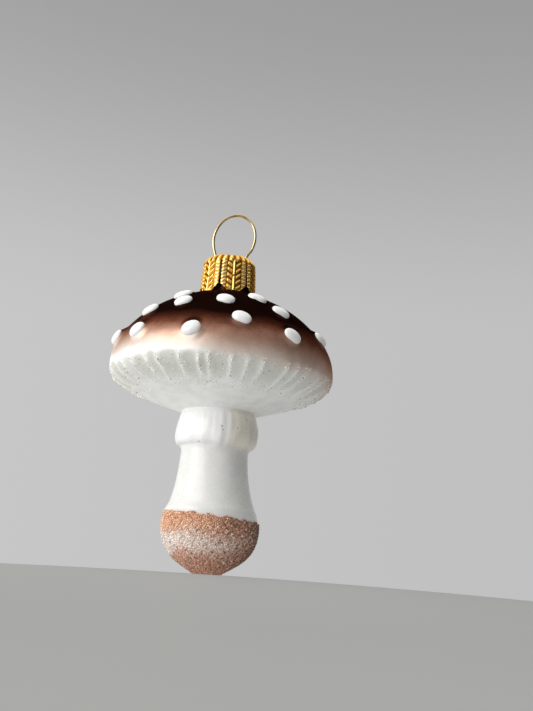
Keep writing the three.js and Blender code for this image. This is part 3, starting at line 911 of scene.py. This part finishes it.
def glass_body():
    rows, names = glass_rows()
    angles = circle(GLASS_COLUMNS)
    points = turned(rows, angles)
    heights = rows[:, 1:]
    stem, collar, under, side = (names == name for name in ("stem", "collar", "under", "side"))
    low, cap, rim = stem | (names == "foot"), side | (names == "dome"), under | side
    lift, valley, pit, painted_collar_light, painted_collar_shade, shelter_and_painted_light, dusty = np.zeros((7, *points.shape[:2]))
    lift[stem] = STEM_LUMP * stem_lumps(angles, heights[stem]) * smooth((heights[stem] - 15) / 2)
    lip = bell((heights[low] - coat_edge(angles) - COAT_LIP_RISE) / COAT_LIP_HALF_WIDTH)
    lift[low] += COAT_LIP * lip
    lift[collar], pit[collar], painted_collar_light[collar], painted_collar_shade[collar] = collar_shape(angles, heights[collar])
    along = lengths(under_rows(OUTSIDE_STEPS["under"]))[1:, None]
    lift[under], valley[under] = gill_relief(angles[None], along, rows[under][:, :1])
    dusty[under] = smooth((along - rim_length + DUST_REACH) / DUST_FADE)
    lift[cap], shelter_and_painted_light[cap] = cap_shape(angles, heights[cap], points[cap])

    points += turned(normals(rows), angles) * lift[..., None]
    bend = sum(shift * bell((points[..., 2] - height) / reach) for shift, height, reach in AXIS_BENDS)
    points[..., 0] += bend * (names != "hollow")[:, None]
    reach = np.hypot(points[rim, :, 0], points[rim, :, 1])
    shrink = np.where(reach < RIM_RADIUS + REACH_SLACK, np.minimum(1, REACH_LIMIT / reach), 1)
    points[rim, :, :2] *= shrink[..., None]

    materials = [white_glass(), lacquered_cap(), bare_glass()]
    piece = make("mushroom_glass", closed_turn(points), "mushroom", materials,
                 ["glass_body"])
    kept = {"spray_and_light": spray_share(angles, heights, shelter_and_painted_light), "valley": valley, "dusty": dusty,
            "pit": pit, "painted_collar_light": painted_collar_light, "painted_collar_shade": painted_collar_shade}
    for name, values in kept.items():
        keep(piece, name, np.append(values.ravel(), [0.0, 0.0]))
    white, lacquered, bare = range(len(materials))
    of_part = {"foot": white, "stem": white, "collar": white, "hollow": bare}
    of_strip = [of_part.get(name, lacquered) for name in names[1:]] + [white, bare]
    index = np.repeat(of_strip, GLASS_COLUMNS).astype(np.int32)
    piece.data.polygons.foreach_set("material_index", index)


def gill_grains():
    """Glass grains that glitter along the gills and, thinner, between them."""
    fine = under_rows(FINE_STEPS)
    gills = np.repeat(np.arange(GILL_COUNT), GRAINS_PER_GILL)
    depth = random.uniform(0, 1, len(gills)) ** 1.5
    first, last = gill_starts[gills] + 2.5, rim_length - 0.9
    along = last - depth * (last - first)
    radius, _ = on_profile(fine, along)
    angle = np.radians(gill_angles[gills]) + random.normal(0, GRAIN_SPREAD, len(gills)) / radius
    loose = rim_length - 0.5 - LOOSE_REACH * random.uniform(0, 1, LOOSE_GRAINS) ** 1.2
    along = np.concatenate([along, loose])
    angle = np.concatenate([angle, random.uniform(0, FULL_TURN, LOOSE_GRAINS)])
    radius, _ = on_profile(fine, along)
    radius, height = on_profile(fine, along, gill_relief(angle, along, radius)[0] + GRAIN_LIFT)
    radius = np.minimum(radius, RIM_RADIUS - GRAIN_RADII[1] - 0.02)
    centres = np.column_stack([radius * np.cos(angle), radius * np.sin(angle), height])
    sizes = random.uniform(*GRAIN_RADII, len(along))
    sizes[:len(gills)] *= 0.9
    tints = GRAIN_TINTS[random.choice(len(GRAIN_TINTS), len(along), p=GRAIN_ODDS)]
    material = grain_glass("gill_grain_glass", 0.1, 0.35, 0.5)
    granules("gill_grains", centres, sizes, tints, material, flat=True)


# Foot coat

bed_angles = circle(BED_COLUMNS)
flat_rows = np.column_stack([np.linspace(0.1, FOOT_FLAT_RADIUS, FLAT_ROWS), np.zeros(FLAT_ROWS)])
coat_rows = np.vstack([flat_rows, foot_rows(FINE_STEPS)[1:]])
coat_lengths = lengths(coat_rows)
ragged_edge = coat_edge(bed_angles) + BED_RAGGED * waves(21, 12, (5, 40), 0.0)(bed_angles, 0.0)
coat_tops = np.interp(ragged_edge, coat_rows[FLAT_ROWS:, 1], coat_lengths[FLAT_ROWS:])
bead_patches = waves(31, 9, (1, 6), 0.5)
bead_clumps = waves(37, 24, (18, 64), 6.0)


def bead_shades(angle, height):
    """How far round to the shaded side a place on the foot is, and how pale its beads are, in a band that
    is paler on the lit side as painted light.
    """
    patch = bead_patches(angle, height)
    shade = 0.5 + 0.5 * np.sin(angle + QUARTER_TURN - 0.2 + 0.25 * patch)
    band = bell((height - PALE_HEIGHT + 0.8 * patch) / PALE_HALF_WIDTH)
    return shade, band * (1.1 - 0.95 * shade + 0.25 * patch)


def coat_bed():
    """Bed of binder with a ragged upper edge."""
    share = np.linspace(0.05, 1, BED_ROWS)[:, None]
    outer, inner = (np.stack(on_profile(coat_rows, share * coat_tops, -depth), -1)
                    for depth in (BED_DEPTH, COAT_THICKNESS))
    shape = closed_turn(turned(np.vstack([outer, inner[::-1]]), bed_angles))
    bed = make("foot_bead_bed", shape, "mushroom", [bead_bed()], ["foot_bead_coat"])
    x, y, z = shape[0].T
    keep(bed, "pale", np.clip(bead_shades(np.arctan2(y, x), z)[1], 0, 1))


def bead_tints(spots):
    """Colours of the beads: brown, some dark at random, with painted light and shade: orange above and a
    pale band, both lighter on the lit side, darker on the shaded side and at the toe.
    """
    x, y, z = spots.T
    angle = np.arctan2(y, x)
    clump = bead_clumps(angle, z)
    high = smooth((z - ORANGE_HEIGHT + 0.5 * bead_patches(angle, z)) / 2.5)
    shade, pale = bead_shades(angle, z)
    chance = random.uniform(0, 1, len(spots))
    pale = np.clip(1.3 * pale + 0.2 * clump + 0.5 * (chance > 0.9), 0, 1)
    low = 1 - smooth(z / TOE_HEIGHT)
    # Painted shade: darker beads on the shaded side and at the toe.
    dark = 1.6 * shade**3 * (1 - low) + 0.35 * low
    dark = np.clip(dark * (1 - 0.5 * pale) - 0.3 * clump + 0.5 * (chance < 0.12), 0, 1)
    tints = BEAD_BROWN
    for colour, share in ((BEAD_ORANGE, high * (1 - shade)), (BEAD_PALE, pale), (BEAD_DARK, dark)):
        tints = tints + (colour - tints) * share[:, None]
    return np.clip(tints * random.uniform(0.8, 1.25, (len(spots), 1)), 0, 0.95)


def coat_beads():
    """Single beads that stand out of the bed, in uneven rings."""
    spots, radii = [], []
    for k, at in enumerate(np.arange(0, coat_lengths[-1] + BEAD_SPACING, BEAD_SPACING)):
        r, _ = on_profile(coat_rows, at)
        count = max(1, int(FULL_TURN * r / BEAD_SPACING))
        angle = (np.arange(count) + 0.5 * (k % 2)) * FULL_TURN / count
        angle = angle + random.uniform(-0.5, 0.5, count) * BEAD_SPACING / max(r, 0.2)
        place = at + random.uniform(-0.5, 0.5, count) * BEAD_SPACING
        size = BEAD_RADIUS * random.uniform(0.7, 1.25, count)
        sunk = size * random.uniform(0.75, 1.05, count)
        stays = place < np.interp(angle % FULL_TURN, bed_angles, coat_tops, period=FULL_TURN)
        radius, height = on_profile(coat_rows, place, -sunk)
        height = np.maximum(height, size)
        ring = np.column_stack([radius * np.cos(angle), radius * np.sin(angle), height])
        spots.append(ring[stays])
        radii.append(size[stays])
    spots = np.vstack(spots)
    material = grain_glass("foot_bead_glass", 0.2, 0.25, 0.25)
    granules("foot_beads", spots, np.concatenate(radii), bead_tints(spots), material)


# Enamel drops

def drop_outline(azimuth, angle, own):
    """Radius of a drop's uneven oval, which leans away from the front."""
    long = own.uniform(0.12, 0.19)
    tilt = -DROP_TILT * math.tanh(6 * math.sin(math.radians(azimuth + 8)))
    outline = 1 + long * np.cos(2 * (angle - tilt - own.uniform(-0.1, 0.1)))
    for lobes, share in ((3, 0.03), (5, 0.015)):
        outline += own.uniform(0, share) * np.cos(lobes * angle + own.uniform(0, FULL_TURN))
    return DROP_RADIUS * outline


def enamel_drops():
    material = white_enamel()
    angle = circle(DROP_SEGMENTS)
    for i, (middle, across, up, out) in enumerate(places):
        own = np.random.default_rng(100 + i)
        azimuth, height = DROP_PLACES[i]
        away = DROP_RINGS[:, None] * drop_outline(azimuth, angle, own)
        thick = DROP_THICKNESS * own.uniform(0.9, 1.1)
        x, y = away * np.cos(angle), away * np.sin(angle)
        rise = bump_share(middle, out)
        fall = SIDE_ROUND if height < 0 else dome_radius
        glass = rise * bump_height(np.hypot(x, y - BUMP_RISE))
        glass = glass - x**2 / (2 * dome_radius) - y**2 / (2 * fall)
        slope = 2 * (glass[-1] * np.sin(angle)).mean() * np.sin(angle)
        edge = np.maximum(glass[-1].mean() + slope, glass[-1]) + DROP_EDGE
        centre = rise * bump_height(BUMP_RISE)
        summit = centre + thick
        skin = edge + (summit - edge) * np.sqrt(1 - DROP_RINGS**DROP_ROUND)[:, None]
        skin = np.maximum(skin, glass - DROP_SINK / 2)
        flat = middle + x[..., None] * across + y[..., None] * up
        below, above = (flat + level[..., None] * out for level in (glass - DROP_SINK, skin))
        points = np.vstack([below, above[::-1]])
        points[..., :2] = np.clip(points[..., :2], -REACH_LIMIT, REACH_LIMIT)
        shape = closed_turn(points, [middle + (centre - DROP_SINK) * out, middle + summit * out])
        name = "enamel_drop_%02d" % (i + 1)
        make(name + "_paint", shape, "mushroom", [material], [name])


# Crown

crown_lumps = waves(41, 10, (8, 40), 2.0)


def crown_relief(turn, height):
    """Height of the pressed pattern; turn is measured from a slit, in radians."""
    u = np.abs(((turn % LEAF) / LEAF) * 2 - 1)
    strands = 0.2 + 0.8 * np.abs(np.cos(math.pi * (height + 0.6 * u) / ROPE_PITCH)) ** 0.8
    rope = np.sqrt(np.clip(1 - ((u - 0.755) / 0.215) ** 2, 0, 1)) * strands
    vein = np.clip(1 - (u / 0.1) ** 2, 0, 1) * np.clip(np.abs(height - VEIN_BREAK) / 0.3, 0.2, 1)
    field = smooth((u - 0.11) / 0.05) * smooth((0.5 - u) / 0.06)
    ribs = (0.5 + 0.5 * np.cos(FULL_TURN * (height - RIB_SLANT * u) / RIB_PITCH)) ** 1.5 * field
    return ROPE_HEIGHT * rope + VEIN_HEIGHT * vein + RIB_HEIGHT * ribs


def crown_sheet():
    """Outer and inner points of the crown, without slits and holes, and its pattern at each."""
    turns = circle(CROWN_COLUMNS)
    from_slit = np.minimum(turns % LEAF, LEAF - turns % LEAF) * CROWN_RADIUS
    low = SKIRT_HEIGHT + NOTCH_HEIGHT * np.clip(1 - from_slit / NOTCH_HALF_WIDTH, 0, 1)
    shoulder = CROWN_TOP - CROWN_SHOULDER
    z = low + np.linspace(0, 1, CROWN_ROWS)[:, None] * (shoulder - low)
    r = SKIRT_RADIUS + (CROWN_RADIUS - SKIRT_RADIUS) * (z - SKIRT_HEIGHT) / (shoulder - SKIRT_HEIGHT)
    bend = curve(SHOULDER_ROWS, (CROWN_RADIUS, shoulder), (CROWN_RADIUS, shoulder + CROWN_SHOULDER / 2),
                 (CROWN_RADIUS - CROWN_SHOULDER / 2, CROWN_TOP), (CROWN_FLAT, CROWN_TOP))[1:]
    flat = np.linspace((CROWN_FLAT, CROWN_TOP), (0.3, CROWN_TOP), COVER_ROWS)[1:]
    cover = np.vstack([bend, flat])[:, None].repeat(CROWN_COLUMNS, 1)
    rows = np.vstack([np.stack([r, z], -1), cover])
    r, z = np.moveaxis(rows, -1, 0)
    out = normals(rows[:, CROWN_COLUMNS // LEAF_COUNT // 2])[:, None]
    upper = smooth((z - shoulder + 0.2) / 0.9)
    scallop = -SCALLOP_HEIGHT * np.cos(SCALLOP_COUNT * turns) * smooth((r - CROWN_FLAT + 0.3) / 1.2)
    relief = crown_relief(turns, z) * (1 - upper) + (scallop + 0.12) * upper
    relief = relief - PATTERN_SINK + 0.02 * crown_lumps(turns, z)
    relief = relief * (1 - 0.5 * smooth((low + 0.5 - z) / 0.5))
    outer, inner = (turned(rows + out * lift[..., None], turns + SLIT_TURN)
                    for lift in (relief, relief - CROWN_SHEET))
    flat_part = outer[-COVER_ROWS:, :, :2]
    for hole in (-HOLE_X, HOLE_X):
        apart = flat_part - np.array([hole, 0])
        away = np.hypot(apart[..., 0], apart[..., 1])
        near = (away < HOLE_RADIUS * 1.35) & (away > HOLE_RADIUS * 0.65)
        flat_part[near] += apart[near] * (HOLE_RADIUS / away[near] - 1)[:, None]
    inner[-COVER_ROWS:, :, :2] = flat_part
    return outer, inner, relief


def wall_map(count, across=64, rows=24):
    """Map corners of the walls at the sheet's cut edges, each in a small cell above the rest."""
    k = np.arange(count)
    cell = np.column_stack([(k % across) / across, 0.96 + 0.04 * (k // across) / rows])
    square = np.array([(0, 0), (0.014, 0), (0.014, 0.0014), (0, 0.0014)])
    return (cell[:, None] + square).reshape(-1, 2)


def crown_cap():
    """Outer and inner side of the sheet, the walls at its cut edges, and the middle of its top."""
    outer, inner, relief = crown_sheet()
    rows, columns = relief.shape
    count = rows * columns
    last_row = count - columns
    faces, corners = grid(rows, columns, 0.0, 0.5)
    middle = outer.reshape(-1, 3)[faces].mean(1)
    turn = (np.arctan2(middle[:, 1], middle[:, 0]) - SLIT_TURN) % LEAF
    slit = (np.minimum(turn, LEAF - turn) * CROWN_RADIUS < SLIT_WIDTH / 2) & (middle[:, 2] < SLIT_TOP)
    hole = np.hypot(np.abs(middle[:, 0]) - HOLE_X, middle[:, 1]) < HOLE_RADIUS * 0.98
    stays = ~slit & ~(hole & (middle[:, 2] > CROWN_TOP - 1))
    faces, corners = faces[stays], corners.reshape(-1, 4, 2)[stays]
    edges = np.stack([faces, np.roll(faces, -1, 1)], -1).reshape(-1, 2).tolist()
    known = set(map(tuple, edges))
    cut = [(a, b) for a, b in edges if (b, a) not in known and min(a, b) < last_row]
    walls = np.array([(b, a, a + count, b + count) for a, b in cut])
    top, top_map = fan(2 * count, last_row, columns, 0.5, 0.51)
    below, below_map = fan(2 * count + 1, count + last_row, columns, 0.94, 0.95, under=True)

    ends = np.stack([outer[-1], inner[-1]]).mean(1) * (0, 0, 1)
    spots = np.vstack([outer.reshape(-1, 3), inner.reshape(-1, 3), ends])
    quads = np.vstack([faces, faces[:, ::-1] + count, walls])
    fans = np.vstack([top, below])
    used = np.zeros(len(spots), bool)
    used[np.append(quads, fans)] = True
    number = np.cumsum(used) - 1
    inner_map = corners[:, ::-1] * np.array([1, 0.8]) + np.array([0, 0.54])
    all_corners = np.vstack([corners.reshape(-1, 2), inner_map.reshape(-1, 2), wall_map(len(walls)),
                             top_map, below_map])
    shape = spots[used], number[quads].tolist() + number[fans].tolist(), all_corners
    piece = make("crown_foil", shape, "crown", [gold_foil()], ["crown_cap"])
    # Painted shade: the pressed lines are darker, and the inner side is painted darker than the outer.
    shade = np.clip((relief + PATTERN_SINK) / 0.26, 0, 1).ravel()
    keep(piece, "relief", np.concatenate([shade, shade * 0.6, [0.5, 0.5]])[used])


# Hanger

def hanger_wire():
    lean = math.radians(LOOP_LEAN)
    turn = np.radians(np.linspace(LOOP_START, LOOP_END, LOOP_POINTS + 1))
    wide, tall = LOOP_HALF_WIDTH * np.cos(turn), LOOP_HALF_LENGTH * np.sin(turn)
    loop = np.column_stack([
        LOOP_CENTRE_OFFSET + wide * math.cos(lean) + tall * math.sin(lean),
        np.zeros(len(turn)),
        CROWN_TOP + LOOP_CENTRE_RISE - wide * math.sin(lean) + tall * math.cos(lean),
    ])
    legs = [[(x, 0, CROWN_TOP - depth) for depth in LEG_DEPTHS] for x in (-HOLE_X, HOLE_X)]
    path = through(np.vstack([legs[0], loop, legs[1][::-1]]), WIRE_STEPS, 0.5)
    along = np.gradient(path, axis=0)
    along /= np.linalg.norm(along, axis=1)[:, None]
    back = np.array([0.0, 1.0, 0.0])
    angle = circle(WIRE_SIDES)[:, None]
    ring = np.cos(angle) * np.cross(back, along)[:, None] + np.sin(angle) * back
    radius = np.full((len(path), 1, 1), WIRE_RADIUS - 0.005)
    radius[[0, -1]] = 0.75 * WIRE_RADIUS
    shape = closed_turn(path[:, None] + ring * radius, path[[0, -1]])
    make("hanger_loop_wire", shape, "hanger", [pale_brass()], ["hanger_wire"])


# Stage, light and camera

def floor():
    """A very shallow ball, so that a camera near its level still sees the foot."""
    reach = np.concatenate([np.linspace(2, 60, 30), np.geomspace(64, FLOOR_REACH, 40)])
    rows = np.column_stack([reach, np.sqrt(FLOOR_BALL**2 - reach**2) - FLOOR_BALL - FLOOR_GAP])
    points = turned(rows[::-1], circle(FLOOR_COLUMNS)).reshape(-1, 3)
    faces, _ = grid(len(rows), FLOOR_COLUMNS)
    middle, _ = fan(len(points), len(points) - FLOOR_COLUMNS, FLOOR_COLUMNS)
    points = np.vstack([points, [[0, 0, rows[0, 1]]]])
    piece = add_mesh("floor", points, faces.tolist() + middle.tolist())
    piece.data.materials.append(floor_paint())


def world():
    """A pale room: bright towards the window on the left, dim on the right."""
    studio = bpy.data.worlds.new("studio")
    bpy.context.scene.world = studio
    studio.use_nodes = True
    room = Nodes(studio.node_tree, "Background")
    place = room.add("ShaderNodeTexCoord").outputs["Generated"]
    x, y, z = room.add("ShaderNodeSeparateXYZ", {"Vector": place}).outputs
    room.set("Color", room.levels(room.span(x, -1.0, 1.0), ROOM_LEVELS, "EASE"))
    high = room.levels(z, HEIGHT_SHARES, "EASE")
    deep = room.levels(room.span(y, -1.0, 1.0), DEPTH_SHARES, "EASE")
    room.set("Strength", room.math("MULTIPLY", high, deep))


def lamp():
    data = bpy.data.lights.new("key", "AREA")
    data.shape = "RECTANGLE"
    data.size = KEY_WIDTH * MM
    data.size_y = KEY_HEIGHT * MM
    data.energy = KEY_POWER
    data.color = KEY_COLOUR
    key = add_object("key", data)
    key.location = Vector(KEY_PLACE) * MM
    aim = Vector(KEY_TARGET) * MM - key.location
    key.rotation_euler = aim.to_track_quat("-Z", "Y").to_euler()


def camera():
    data = bpy.data.cameras.new("camera")
    data.lens = CAMERA_LENS
    data.clip_start = CAMERA_NEAR * MM
    made = add_object("camera", data)
    turns = ((-CAMERA_YAW, "Z"), (90 + CAMERA_PITCH, "X"), (CAMERA_ROLL, "Z"))
    yaw, pitch, roll = (Matrix.Rotation(math.radians(turn), 4, axis) for turn, axis in turns)
    made.matrix_world = Matrix.Translation(Vector(CAMERA_PLACE) * MM) @ yaw @ pitch @ roll
    bpy.context.scene.camera = made


bpy.context.scene.view_settings.view_transform = "Standard"
camera()
lamp()
world()
floor()
glass_body()
gill_grains()
coat_bed()
coat_beads()
enamel_drops()
crown_cap()
hanger_wire()
